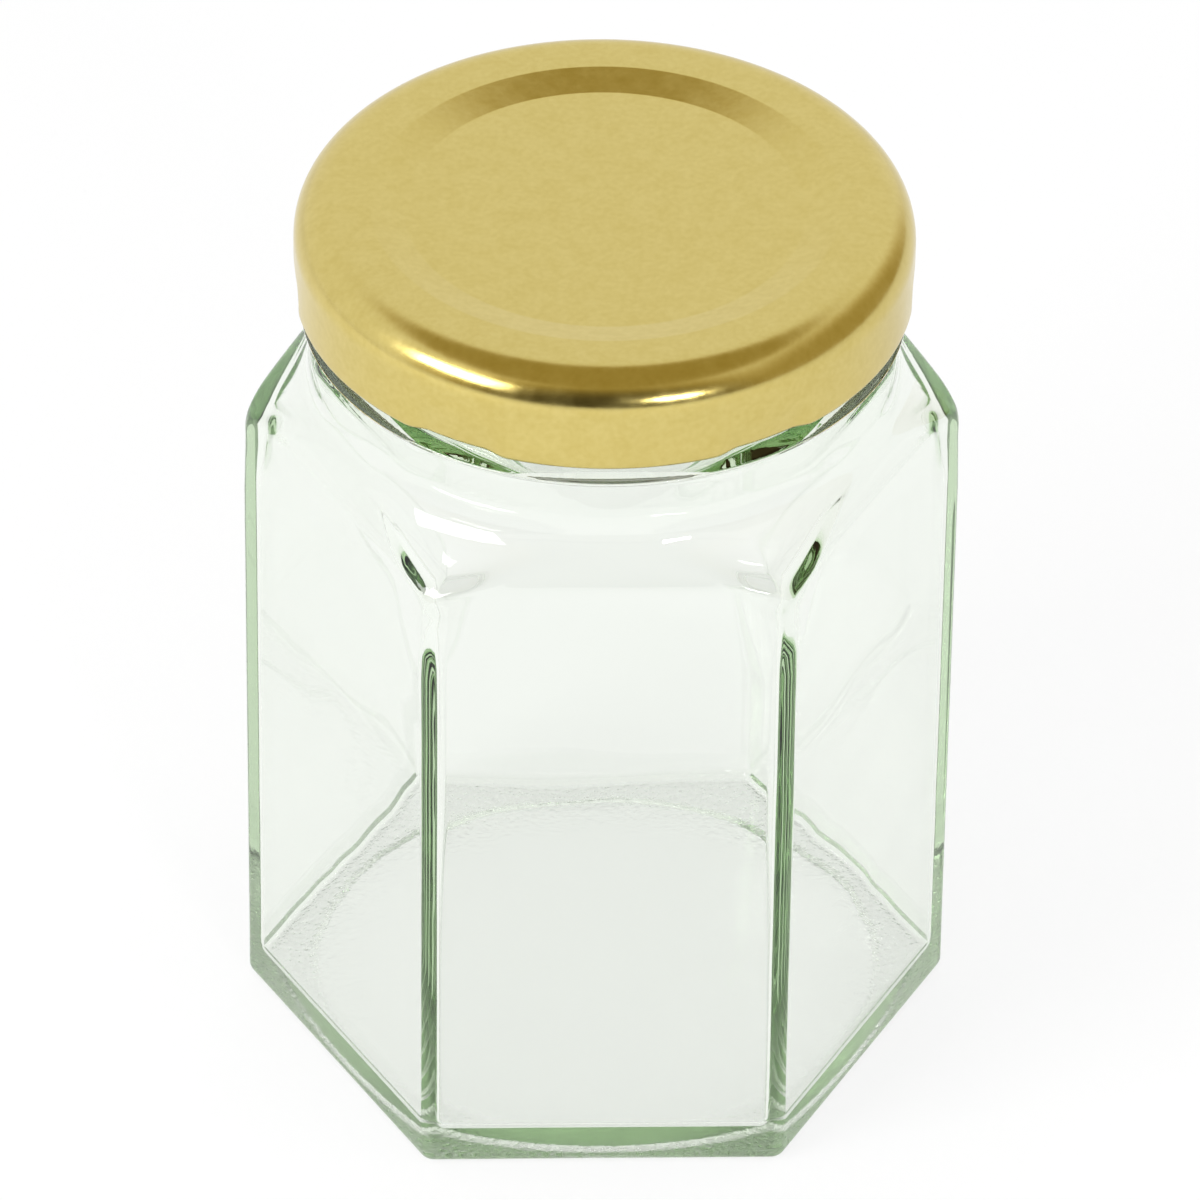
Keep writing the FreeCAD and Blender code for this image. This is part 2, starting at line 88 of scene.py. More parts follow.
# A closed skin over rows of rings round the axis: x and y are the distance from the axis times
# the angle's cosine and sine, z is the height. The first and the last row are points on the axis.
def skinMesh(name, rows, angles):
    across = np.array([np.broadcast_to(reach, angles.shape) for reach, height in rows])
    up = np.array([np.broadcast_to(height, angles.shape) for reach, height in rows])
    rings, columns = len(rows) - 2, len(angles)
    grid = np.stack([across * np.cos(angles), across * np.sin(angles), up], axis=-1)
    poles = [[0.0, 0.0, up[0].mean()], [0.0, 0.0, up[-1].mean()]]
    points = np.concatenate([grid[1:-1].reshape(-1, 3), poles]) * mm
    this = np.arange(columns)
    after = (this + 1) % columns
    row = np.arange(rings - 1)[:, None] * columns
    quads = np.stack([row + this, row + after, row + columns + after, row + columns + this], axis=-1)
    firstPole, lastPole, lastRow = rings * columns, rings * columns + 1, (rings - 1) * columns
    firstFan = np.stack([np.full(columns, firstPole), after, this], axis=-1)
    lastFan = np.stack([lastRow + this, lastRow + after, np.full(columns, lastPole)], axis=-1)
    corners = np.concatenate([quads.ravel(), firstFan.ravel(), lastFan.ravel()])
    sides = np.concatenate([np.full(quads.size // 4, 4), np.full(2 * columns, 3)])
    starts = np.concatenate([[0], np.cumsum(sides)[:-1]])
    mesh = bpy.data.meshes.new(name)
    mesh.vertices.add(len(points))
    mesh.vertices.foreach_set("co", points.ravel())
    mesh.loops.add(len(corners))
    mesh.loops.foreach_set("vertex_index", corners.astype(np.int32))
    mesh.polygons.add(len(sides))
    mesh.polygons.foreach_set("loop_start", starts.astype(np.int32))
    mesh.polygons.foreach_set("use_smooth", np.ones(len(sides), dtype=bool))
    mesh.update(calc_edges=True)
    mesh.validate()
    piece = bpy.data.objects.new(name, mesh)
    scene.collection.objects.link(piece)
    return piece


# A material with a plain shader joined to its output, ready for more nodes.
def newMaterial(name):
    material = bpy.data.materials.new(name)
    material.use_nodes = True
    tree = material.node_tree
    tree.nodes.clear()
    out = tree.nodes.new("ShaderNodeOutputMaterial")
    shader = tree.nodes.new("ShaderNodeBsdfPrincipled")
    tree.links.new(shader.outputs["BSDF"], out.inputs["Surface"])
    return material, tree, shader, out


# A node whose inputs are values or the sockets of other nodes.
def addNode(tree, kind, inputs=None, **settings):
    node = tree.nodes.new(kind)
    for key, value in settings.items():
        setattr(node, key, value)
    for key, value in (inputs or {}).items():
        if isinstance(value, bpy.types.NodeSocket):
            tree.links.new(value, node.inputs[key])
        else:
            node.inputs[key].default_value = value
    return node


def mathNode(tree, operation, first, second, **settings):
    inputs = {0: first, 1: second}
    return addNode(tree, "ShaderNodeMath", inputs, operation=operation, **settings).outputs[0]


# Maps a value from one span onto another, both given as pairs.
def mapNode(tree, value, before, after, **settings):
    inputs = {"Value": value, "From Min": before[0], "From Max": before[1],
              "To Min": after[0], "To Max": after[1]}
    return addNode(tree, "ShaderNodeMapRange", inputs, **settings).outputs[0]


def noiseNode(tree, place, scale, detail):
    inputs = {"Vector": place, "Scale": scale, "Detail": detail}
    return addNode(tree, "ShaderNodeTexNoise", inputs).outputs["Fac"]


def blendNode(tree, share, first, second):
    inputs = {"Factor": share, "A": first, "B": second}
    return addNode(tree, "ShaderNodeMix", inputs, data_type="RGBA").outputs["Result"]


glassJar = {
    "acrossFlats": nodeSpan("glass_jar", 1),
    "height": nodeTop("glass_jar"),
    "corner": 1.8,             # radius between two panels
    "heel": 1.5,               # radius round the foot
    "wall": 2.6,
    "base": 3.4,
    "innerCorner": 1.35,
    "innerHeel": 1.5,
    "pushUp": 1.1,             # rise in the middle of the underside
    "dish": 30.2,              # radius inside the bearing ring
    "dishStep": 0.45,          # height of the soft step at its edge
    "dishStepWidth": 1.6,
    "plainTop": 72.0,          # the panels are plain up to here
    "panelTop": 78.5,          # where the middle of a panel starts to lean in
    "innerPanelTop": 77.6,
    "panelLean": 19.0,         # degrees
    "leanBend": 0.3,           # half the height over which it bends
    "innerLeanBend": 1.2,
    "shoulderTop": 83.4,
    "shoulderWall": 1.9,
    "shoulderSlope": 42.0,     # degrees
    "shoulderRound": 4.0,
    "innerShoulderRound": 7.0,
    "crease": 0.7,             # rounding of the arched edge over each panel
    "innerCrease": 2.2,
    "creaseFoot": 68.0,        # the rounding starts at this height and grows over the next
    "creaseGrowth": 6.0,
    "archFrom": 70.0,          # the arches are looked for above this height
    "innerArchFrom": 66.0,
    "archBand": 1.1,           # close rows this far below and above an arch
    "innerArchBand": 2.6,
    "neckHollow": 2.2,         # width of the blend from shoulder to neck
    "innerHollow": 1.2,
    "hollowRise": 3.0,         # height of that blend over the shoulder's top
    "innerHollowRise": 3.5,
    "neck": 31.3,
    "bead": 32.2,
    "beadBottom": 90.9,
    "beadRound": 0.7,
    "beadBend": 0.35,          # radius where its edge turns into its sloping top
    "beadSlope": 29.0,         # degrees
    "finish": 30.1,            # the neck over the bead, which carries the thread
    "bore": 27.6,
    "rim": 0.9,
    "threadReach": 1.1,
    "threadWidth": 2.2,
    "threadBottom": 95.35,
    "threadSweep": 42.0,       # degrees round the neck
    "threadLead": 2.0,         # degrees
    "threadFade": 4.0,         # degrees over which an end fades
    "threadFlank": 0.35,       # share of its width that a flank takes
    "uneven": 0.07,            # peak departure of the inner wall from an even wall
    "outerUneven": 0.012,
    "waveFade": 8.0,           # height over which it fades out at heel and shoulder
    "waveEnd": 4.0,            # and how far below the shoulder's top it ends
    "innerWaveTop": 95.0,
    "innerWaveFade": 12.0,
    "floorSwell": 0.35,        # how much thicker the floor's middle is
    "floorWave": 0.05,
    "refraction": 1.52,
    "tint": (0.27, 0.57, 0.09, 1.0),     # what the glass lets through
    "density": 20.0,                     # per metre
    "stippleHeights": (0.0001, 0.0009),  # metres, the frosted ring that the jar stands on
    "stippleScale": 1400.0,
    "stippleRoughness": 0.7,
    "stippleBump": (0.5, 0.0003),        # strength and depth in metres
}


# Distance from the axis to a hexagon with rounded corners: on a flat it is the apothem over the
# cosine, near a corner it is where the ray leaves the corner's circle.
def hexReach(angles, apothem, corner):
    offNormal = np.abs(offMiddle(angles - np.radians(90.0)))
    offCorner = sixth / 2 - offNormal
    flat = apothem / np.cos(offNormal)
    centre = (apothem - corner) / np.cos(sixth / 2)
    inside = np.maximum(corner**2 - (centre * np.sin(offCorner)) ** 2, 0.0)
    arc = centre * np.cos(offCorner) + np.sqrt(inside)
    onFlat = apothem * np.tan(offNormal) <= (apothem - corner) * np.tan(sixth / 2)
    return np.where(onFlat, flat, arc)


# The same hexagon's reach at a corner itself.
def cornerReach(apothem, corner):
    return apothem / np.cos(sixth / 2) - corner * (1 / np.cos(sixth / 2) - 1)


# Angles of the columns, in degrees off a flat's middle: far apart on it and close at the corners.
def glassAngles():
    flat = np.concatenate([np.arange(0, 24, 2.0), [24, 25.2, 26.2, 27, 27.6, 28, 28.3, 28.5]])
    half = np.concatenate([flat, np.linspace(28.7, 30.0, 9)])
    panel = np.concatenate([-half[:0:-1], half[:-1]])
    return np.radians(np.concatenate([90.0 + 60.0 * k + panel for k in range(6)]))


# Gentle uneven thickness: a sum of waves, each the sine of some turns round the wall times the
# cosine of a slow climb up it, with seeded phases. A wave is its turns, its climb and its share.
def unevenness(angles, up, depth, seed):
    rng = np.random.default_rng(seed)
    total = np.zeros(np.broadcast(angles, up).shape)
    waves = [(2, 0.03, 1.0), (3, 0.05, 0.8), (5, 0.07, 0.55), (7, 0.10, 0.4), (11, 0.15, 0.25)]
    for turns, rise, share in waves:
        for _ in range(2):
            phase, slant = rng.uniform(0, 2 * np.pi, 2)
            lean = rng.uniform(-1, 1)
            wave = np.sin(turns * angles + phase) * np.cos(2 * np.pi * rise * lean * up + slant)
            total = total + share * wave
    return depth * total / 2.0


# A panel's reach at each height: the rounded hexagon, drawn in by the height over the panel's top
# times the tangent of the lean.
def panelReach(angles, up, sizes, apothem, corner, top, bend):
    lean = softRise(up - top, bend) * np.tan(np.radians(sizes["panelLean"]))
    return hexReach(angles, apothem - lean, corner)


# The turned shoulder's reach at each height: the corner's reach, then an arc, then a cone, and a
# hollow where it meets the neck. Depth sets the line in square to the cone, for the inside.
def shoulderReach(up, sizes, reach, rounding, depth, least, hollow):
    slope = np.radians(sizes["shoulderSlope"])
    inset = sizes["neck"] - depth * np.sin(slope)
    crest = sizes["shoulderTop"] - depth * np.cos(slope)
    foot = reach - rounding
    centre = crest - (rounding + (foot - inset) * np.sin(slope)) / np.cos(slope)
    cone = inset + (crest - up) / np.tan(slope)
    rise = np.clip(up - centre, 0.0, rounding * np.cos(slope))
    arc = foot + np.sqrt(rounding**2 - rise**2)
    line = np.where(up < centre + rounding * np.cos(slope), arc, cone)
    return -softLesser(-line, np.full_like(line, -least), hollow)


# The height at which a panel and the shoulder cross, at each angle: the first rung of a fine
# ladder where the shoulder is the lesser, moved back by the overshoot.
def meetingHeight(panelAt, shoulderAt, low, high):
    rungs = 300
    ladder = np.linspace(low, high, rungs)[:, None]
    gap = shoulderAt(ladder) - panelAt(ladder)
    rung = np.argmax(gap < 0, axis=0)
    column = np.arange(gap.shape[1])
    over, under = gap[rung, column], gap[np.maximum(rung - 1, 0), column]
    share = np.where(rung > 0, over / (over - under + 1e-12), 0.0)
    return ladder[rung, 0] - share * (high - low) / (rungs - 1)


# How much of the arch's rounding applies at a height: next to none below its foot, so that a
# corner keeps its own radius there, and all of it above.
def creaseAt(up, sizes, width):
    return width * smoothStep((up - sizes["creaseFoot"]) / sizes["creaseGrowth"]) + hair / 5


# Heights from one level to another, at these shares of the way.
def climb(start, end, shares):
    return [start * (1 - t) + end * t for t in shares]


# Underside: a dome that falls with the square of its radius, a smooth step down to the flat
# bearing ring, and a quarter round up the heel.
def undersideRows(angles, sizes):
    apothem, heel, step = sizes["acrossFlats"] / 2, sizes["heel"], sizes["dishStep"]
    ledge = sizes["dish"] - sizes["dishStepWidth"]
    rows = [(reach, step + (sizes["pushUp"] - step) * (1 - (reach / ledge) ** 2))
            for reach in np.linspace(0.0, ledge, 14)]
    rows += [(ledge + sizes["dishStepWidth"] * t, step * (1 - smoothStep(t))) for t in evenly(7)]
    foot = hexReach(angles, apothem - heel, max(sizes["corner"] - heel, hair))
    rows += [(sizes["dish"] * (1 - t) + foot * t, 0.0) for t in (0.15, 0.45, 0.75)]
    for turn in np.radians(np.linspace(0, 90, 10)):
        inset = heel * (1 - np.sin(turn))
        ring = hexReach(angles, apothem - inset, max(sizes["corner"] - inset, hair))
        rows.append((ring, heel * (1 - np.cos(turn))))
    return rows


# Panels and shoulder: at each height the lesser of the panel's and the shoulder's reach. The rows
# follow the arch between them, so that its edge runs along the grid.
def bodyRows(angles, sizes):
    apothem, heel = sizes["acrossFlats"] / 2, sizes["heel"]
    reach = cornerReach(apothem, sizes["corner"])

    def panelAt(z):
        return panelReach(angles, z, sizes, apothem, sizes["corner"], sizes["panelTop"], sizes["leanBend"])

    def shoulderAt(z):
        return shoulderReach(z, sizes, reach, sizes["shoulderRound"], 0.0,
                             sizes["neck"], sizes["neckHollow"])

    level = np.ones_like(angles)
    hollowTop = sizes["shoulderTop"] + sizes["hollowRise"]
    arch = meetingHeight(panelAt, shoulderAt, sizes["archFrom"], hollowTop)
    archFoot, archHead = arch - sizes["archBand"], arch + sizes["archBand"]
    bend = np.minimum(archFoot - 2 * sizes["leanBend"], sizes["panelTop"])
    levels = climb(heel * level, sizes["plainTop"] * level, evenly(15))
    levels += climb(sizes["plainTop"] * level, bend - 0.5, [0.35, 0.7, 1.0])
    levels += climb(bend - 0.5, bend + 0.5, evenly(4))
    levels += climb(bend + 0.5, archFoot, evenly(4))
    levels += climb(archFoot, archHead, evenly(14))
    levels += climb(archHead, hollowTop * level, evenly(16))
    levels += climb(hollowTop * level, (sizes["beadBottom"] - 0.3) * level, evenly(4))
    rows = []
    for z in levels:
        fade = smoothStep((z - heel) / sizes["waveFade"])
        fade = fade * smoothStep((sizes["shoulderTop"] - sizes["waveEnd"] - z) / sizes["waveFade"])
        inward = 1.5 * sizes["outerUneven"]      # keeps the waves inside the jar's own outline
        wave = (unevenness(angles, z, sizes["outerUneven"], 3) - inward) * fade
        line = softLesser(panelAt(z), shoulderAt(z), creaseAt(z, sizes, sizes["crease"]))
        rows.append((line + wave, z))
    return rows


# Transfer bead: a half round out from the neck, a small bend, and a slope in to the finish.
def beadRows(sizes):
    bead, finish = sizes["bead"], sizes["finish"]
    curve, bend = sizes["beadRound"], sizes["beadBend"]
    edge = sizes["beadBottom"] + curve
    lean = np.radians(90 - sizes["beadSlope"])
    top = beadTop(sizes)
    rows = [(sizes["neck"] + hair, sizes["beadBottom"])]
    for turn in np.radians(np.linspace(-90, 0, 8)):
        rows.append((bead - curve * (1 - np.cos(turn)), edge + curve * np.sin(turn)))
    for turn in np.linspace(0, lean, 6):
        rows.append((bead - bend * (1 - np.cos(turn)), edge + bend * (np.sin(turn) - np.tan(lean / 2))))
    for share in np.linspace(0.15, 0.95, 6):
        rows.append((bead + (finish - bead) * share, edge + (top - edge) * share))
    return rows


# Height at which the bead's slope reaches the finish.
def beadTop(sizes):
    slope = np.tan(np.radians(90 - sizes["beadSlope"]))
    return sizes["beadBottom"] + sizes["beadRound"] + (sizes["bead"] - sizes["finish"]) / slope


# Six short ridges that climb round the neck: the reach times a bump that is level on top and falls
# smoothly at its flanks, times another that fades its ends.
def threadBump(angles, z, sizes):
    turn = offMiddle(angles)
    width = sizes["threadWidth"]
    end, fade = np.radians(sizes["threadSweep"] / 2), np.radians(sizes["threadFade"])
    ends = smoothStep((end - np.abs(turn)) / fade)
    climbed = sizes["finish"] * turn * np.tan(np.radians(sizes["threadLead"]))
    middle = sizes["threadBottom"] + width / 2 + climbed
    ridge = smoothStep((width / 2 - np.abs(z - middle)) / (width * sizes["threadFlank"]))
    return sizes["threadReach"] * ends * ridge


# Finish: the neck's cylinder with its thread starts, then a quarter round over each edge of the rim.
def finishRows(angles, sizes):
    top, height, rim = beadTop(sizes), sizes["height"], sizes["rim"]
    levels = np.concatenate([[top + 0.12], np.arange(top + 0.35, height - rim - 0.5, 0.3)])
    rows = [(sizes["finish"] + threadBump(angles, z, sizes), z) for z in levels]
    quarter = np.radians(np.linspace(0, 90, 7))
    rows += [(sizes["finish"] - rim * (1 - np.cos(t)), height - rim * (1 - np.sin(t))) for t in quarter]
    rows += [(sizes["bore"] + rim * (1 - np.cos(t)), height - rim * (1 - np.sin(t))) for t in quarter[::-1]]
    return rows


# Inside, from the mouth down: the lesser of wall and inner shoulder, a quarter round into the
# floor, and the floor as the last ring drawn in share by share. Seeded waves make it uneven.
def insideRows(angles, sizes):
    apothem = sizes["acrossFlats"] / 2 - sizes["wall"]
    corner, heel, base = sizes["innerCorner"], sizes["innerHeel"], sizes["base"]
    reach = cornerReach(apothem, corner)

    def wallAt(z):
        return panelReach(angles, z, sizes, apothem, corner, sizes["innerPanelTop"], sizes["innerLeanBend"])

    def shoulderAt(z):
        return shoulderReach(z, sizes, reach, sizes["innerShoulderRound"], sizes["shoulderWall"],
                             sizes["bore"], sizes["innerHollow"])

    level = np.ones_like(angles)
    floorTop = base + heel
    mouthTop = sizes["height"] - sizes["rim"] - 0.5
    mouthEnd = sizes["shoulderTop"] + sizes["innerHollowRise"]
    arch = meetingHeight(wallAt, shoulderAt, sizes["innerArchFrom"], sizes["shoulderTop"])
    archHead, archFoot = arch + sizes["innerArchBand"], arch - sizes["innerArchBand"]
    levels = climb(mouthTop * level, mouthEnd * level, np.linspace(0, 1, 14))
    levels += climb(mouthEnd * level, archHead, evenly(17))
    levels += climb(archHead, archFoot, evenly(17))
    levels += climb(archFoot, floorTop * level, evenly(25))
    thinner = sizes["uneven"] * 0.5
    rows = []
    for z in levels:
        fade = smoothStep((sizes["innerWaveTop"] - z) / sizes["innerWaveFade"])
        wave = unevenness(angles, z, sizes["uneven"], 11) * fade
        line = softLesser(wallAt(z), shoulderAt(z), creaseAt(z, sizes, sizes["innerCrease"]))
        rows.append((line - thinner + wave, z))
    wave = unevenness(angles, floorTop, sizes["uneven"], 11)
    for turn in np.radians(np.linspace(0, 90, 12))[1:]:
        inset = heel * (1 - np.cos(turn))
        ring = hexReach(angles, apothem - inset, max(corner - inset, hair))
        rows.append((ring - thinner + wave * (1 - np.sin(turn)), floorTop - heel * np.sin(turn)))
    floorRing = hexReach(angles, apothem - heel, 0.0)
    for share in np.linspace(1, 0, 15)[1:]:
        ring = (floorRing - thinner) * share
        wave = unevenness(angles, ring, sizes["floorWave"], 23) * share * (1 - share) * 4
        rows.append((ring, base + sizes["floorSwell"] * smoothStep(1 - share) + wave))
    return rows


# Clear glass: a sharp refraction with a plain absorbing volume, frosted low on the bearing ring.
def glassMaterial(sizes):
    material, tree, shader, out = newMaterial("clearGlass")
    shader.inputs["Base Color"].default_value = (1, 1, 1, 1)
    shader.inputs["Transmission Weight"].default_value = 1.0
    shader.inputs["IOR"].default_value = sizes["refraction"]
    place = addNode(tree, "ShaderNodeTexCoord").outputs["Object"]
    up = addNode(tree, "ShaderNodeSeparateXYZ", {0: place}).outputs["Z"]
    low = mapNode(tree, up, sizes["stippleHeights"], (1.0, 0.0))
    grain = mathNode(tree, "MULTIPLY", low, noiseNode(tree, place, sizes["stippleScale"], 2.0))
    rough = mathNode(tree, "MULTIPLY", grain, sizes["stippleRoughness"])
    tree.links.new(rough, shader.inputs["Roughness"])
    strength, depth = sizes["stippleBump"]
    bump = addNode(tree, "ShaderNodeBump", {"Height": grain, "Strength": strength, "Distance": depth})
    tree.links.new(bump.outputs["Normal"], shader.inputs["Normal"])
    absorbed = {"Color": sizes["tint"], "Density": sizes["density"]}
    volume = addNode(tree, "ShaderNodeVolumeAbsorption", absorbed)
    tree.links.new(volume.outputs["Volume"], out.inputs["Volume"])
    return material


# The jar is one skin: underside, body, bead, finish and inside, one after another.
def buildGlass(sizes):
    angles = glassAngles()
    rows = undersideRows(angles, sizes) + bodyRows(angles, sizes) + beadRows(sizes)
    rows += finishRows(angles, sizes) + insideRows(angles, sizes)
    piece = skinMesh("glassJar", rows, angles)
    piece.data.materials.append(glassMaterial(sizes))
    return piece


glass = buildGlass(glassJar)
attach(glass, "root")
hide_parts("glass_jar")
print("glass made:", len(glass.data.polygons), "faces")


goldLid = {
    "outside": nodeSpan("lid", 0) / 2,
    "top": nodeTop("lid"),
    "height": nodeSpan("lid", 2),
    "sheet": 0.25,             # thickness of the steel
    "edge": 4.2,               # radius from the top into the skirt
    "stepOuter": 24.9,         # the pressed step round the middle
    "stepWidth": 3.7,
    "stepDepth": 0.87,
    "stepBend": 1.0,
    "curl": 1.6,               # the rolled lower edge
    "curlFrom": 55.0,          # degrees, where the roll begins inside
    "curlGap": 0.25,
    "lugReach": 1.0,
    "lugTurn": 7.5,            # half the angle that a lug covers
    "lugFade": 3.0,
    "lugLift": 0.25,
    "lugEdge": (0.2, 0.8),     # the roll's outer part stays: where that starts and its blend
    "dent": 0.45,              # press mark in the skirt over each lug
    "dentHeight": 5.0,
    "dentDepth": 2.5,          # a mark moves only what is this near the outside
    "columns": 300,
    "gold": (0.61, 0.49, 0.155, 1.0),
    "paleGold": (0.66, 0.54, 0.19, 1.0),
    "grainScale": 1500.0,
    "cloudScale": 450.0,
    "roughness": (0.17, 0.24),
    "bump": (0.05, 0.0001),    # strength and depth in metres
    "lining": {"colour": (0.80, 0.79, 0.75, 1), "pale": (0.86, 0.85, 0.82, 1), "scale": 300.0,
               "roughness": 0.35},
}


# The pressed sheet's line from the centre to the foot of the skirt, at a depth in the metal:
# level, a step up between two arcs, level, a quarter round, and straight down.
def sheetLine(sizes, depth):
    top, edge, bend = sizes["top"], sizes["edge"], sizes["stepBend"]
    panel = top - sizes["stepDepth"]
    inner = sizes["stepOuter"] - sizes["stepWidth"]
    slope = np.arctan2(sizes["stepDepth"], sizes["stepWidth"])
    back = bend * np.tan(slope / 2)
    line = [(reach, panel - depth) for reach in np.linspace(0, inner - back - 0.2, 16)]
    for turn in np.linspace(0, slope, 6):
        line.append((inner - back + (bend + depth) * np.sin(turn),
                     panel + bend - (bend + depth) * np.cos(turn)))
    for turn in np.linspace(slope, 0, 6):
        line.append((sizes["stepOuter"] + back - (bend - depth) * np.sin(turn),
                     top - bend + (bend - depth) * np.cos(turn)))
    shoulder = (sizes["outside"] - edge, top - edge)
    level = np.linspace(sizes["stepOuter"] + back, shoulder[0], 5)[1:-1]
    line += [(reach, top - depth) for reach in level]
    for turn in np.radians(np.linspace(90, 0, 18)):
        line.append((shoulder[0] + (edge - depth) * np.cos(turn),
                     shoulder[1] + (edge - depth) * np.sin(turn)))
    skirtEnd = top - sizes["height"] + sizes["curl"] + sizes["curlGap"]
    line += [(sizes["outside"] - depth, z) for z in np.linspace(shoulder[1], skirtEnd, 14)[1:]]
    return line


# How far into a lug each angle lies: 1 over the lug, 0 between lugs, smooth at its sides.
def lugShare(angles, sizes):
    turn = np.degrees(np.abs(offMiddle(angles)))
    return smoothStep((sizes["lugTurn"] + sizes["lugFade"] - turn) / (sizes["lugFade"] * 1.6))


# The lid is the sheet's inner line, the roll's circle and the outer line back, turned round the
# axis. Over each lug the skirt leans in and the roll is pressed flat and inwards.
def buildLid(sizes):
    angles = np.linspace(0, 2 * np.pi, sizes["columns"], endpoint=False)
    bottom = sizes["top"] - sizes["height"]
    roll = sizes["curl"] / 2
    rollAcross, rollUp = sizes["outside"] - roll, bottom + roll
    inner, outer = sheetLine(sizes, sizes["sheet"]), sheetLine(sizes, 0.0)[::-1]
    curl = [(rollAcross + roll * np.cos(turn), rollUp + roll * np.sin(turn))
            for turn in np.radians(np.linspace(sizes["curlFrom"], 360, 24))]
    line = np.array(inner + curl + outer)
    onCurl = np.zeros((len(line), 1))
    onCurl[len(inner):len(inner) + len(curl)] = 1.0
    across = np.repeat(line[:, :1], len(angles), axis=1)
    up = np.repeat(line[:, 1:], len(angles), axis=1)
    share = lugShare(angles, sizes)
    fade = smoothStep((bottom + sizes["dentHeight"] - up) / sizes["dentHeight"])
    across = across - sizes["dent"] * share * fade * (across > sizes["outside"] - sizes["dentDepth"])
    curled = onCurl * share
    start, blend = sizes["lugEdge"]
    flattened = smoothStep((start - (across - rollAcross) * curled) / blend)
    across = across - curled * sizes["lugReach"] * flattened
    up = up + curled * sizes["lugLift"]
    piece = skinMesh("goldLid", list(zip(across, up)), angles)
    piece.data.materials.append(goldMaterial(sizes))
    piece.data.materials.append(mottledMaterial("whiteLining", sizes["lining"]))
    faceIndex = np.arange(len(piece.data.polygons))
    centreFan = faceIndex[-2 * len(angles):-len(angles)]
    lined = (faceIndex < (len(inner) - 2) * len(angles)).astype(np.int32)
    lined[centreFan] = 1
    piece.data.polygons.foreach_set("material_index", lined)
    return piece


# Gold lacquer on steel: a fine grain and a coarser cloud shift colour, roughness and surface.
def goldMaterial(sizes):
    material, tree, shader, out = newMaterial("goldLacquer")
    place = addNode(tree, "ShaderNodeTexCoord").outputs["Object"]
    grain = noiseNode(tree, place, sizes["grainScale"], 2.0)
    cloud = noiseNode(tree, place, sizes["cloudScale"], 3.0)
    both = mathNode(tree, "ADD", grain, cloud)
    shade = mapNode(tree, both, (0.7, 1.3), (0.0, 1.0))
    tree.links.new(blendNode(tree, shade, sizes["gold"], sizes["paleGold"]), shader.inputs["Base Color"])
    tree.links.new(mapNode(tree, cloud, (0.3, 0.7), sizes["roughness"]), shader.inputs["Roughness"])
    strength, depth = sizes["bump"]
    bump = addNode(tree, "ShaderNodeBump", {"Height": both, "Strength": strength, "Distance": depth})
    tree.links.new(bump.outputs["Normal"], shader.inputs["Normal"])
    shader.inputs["Metallic"].default_value = 1.0
    return material


# A dull coating whose colour drifts between two near shades.
def mottledMaterial(name, finish):
    material, tree, shader, out = newMaterial(name)
    place = addNode(tree, "ShaderNodeTexCoord").outputs["Object"]
    cloud = noiseNode(tree, place, finish["scale"], 2.0)
    tree.links.new(blendNode(tree, cloud, finish["colour"], finish["pale"]), shader.inputs["Base Color"])
    shader.inputs["Roughness"].default_value = finish["roughness"]
    return material


lid = buildLid(goldLid)
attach(lid, "root")
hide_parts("lid")
print("lid made:", len(lid.data.polygons), "faces")


sealingRing = {
    "colour": (0.72, 0.70, 0.63, 1),
    "pale": (0.80, 0.78, 0.72, 1),
    "scale": 400.0,
    "roughness": 0.5,
}

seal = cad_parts["sealing_ring"]
seal.data.materials.clear()
seal.data.materials.append(mottledMaterial("sealingCompound", sealingRing))
print("sealing ring dressed")


studio = {
    "floorHalf": 6.0,          # metres
    "floorDrop": 0.0002,       # below the jar's foot
    "floorColour": (0.97, 0.97, 0.97, 1),
    "floorGlow": 0.78,         # share of plain white that the camera, metal and glass see in it
    "floorDim": 0.30,          # and by how much less metal mirrors of it
    "fillLevel": 0.85,         # even light from all round
    "overhead": 0.44,          # what metal and glass mirror straight above
    "overheadFrom": (0.74, 0.86),
    "rightSide": 0.50,         # to the right
    "rightFrom": (0.5, 0.85),
    "frontLow": 0.06,          # and low in front, behind the camera
    "frontFrom": (-0.95, -0.15),
    "dimColour": (1.0, 0.80, 0.32, 1),
    "lampAim": 0.09,           # height that the lamps face, metres
    "lamps": {
        "leftBox": {"azimuth": -55, "elevation": 28, "distance": 0.8, "size": (0.42, 0.26), "power": 3.0},
        "rightBox": {"azimuth": 23, "elevation": 17, "distance": 0.9, "size": (0.20, 0.09), "power": 1.6},
    },
    "lightBounces": 24,        # enough for light to leave the glass again
}


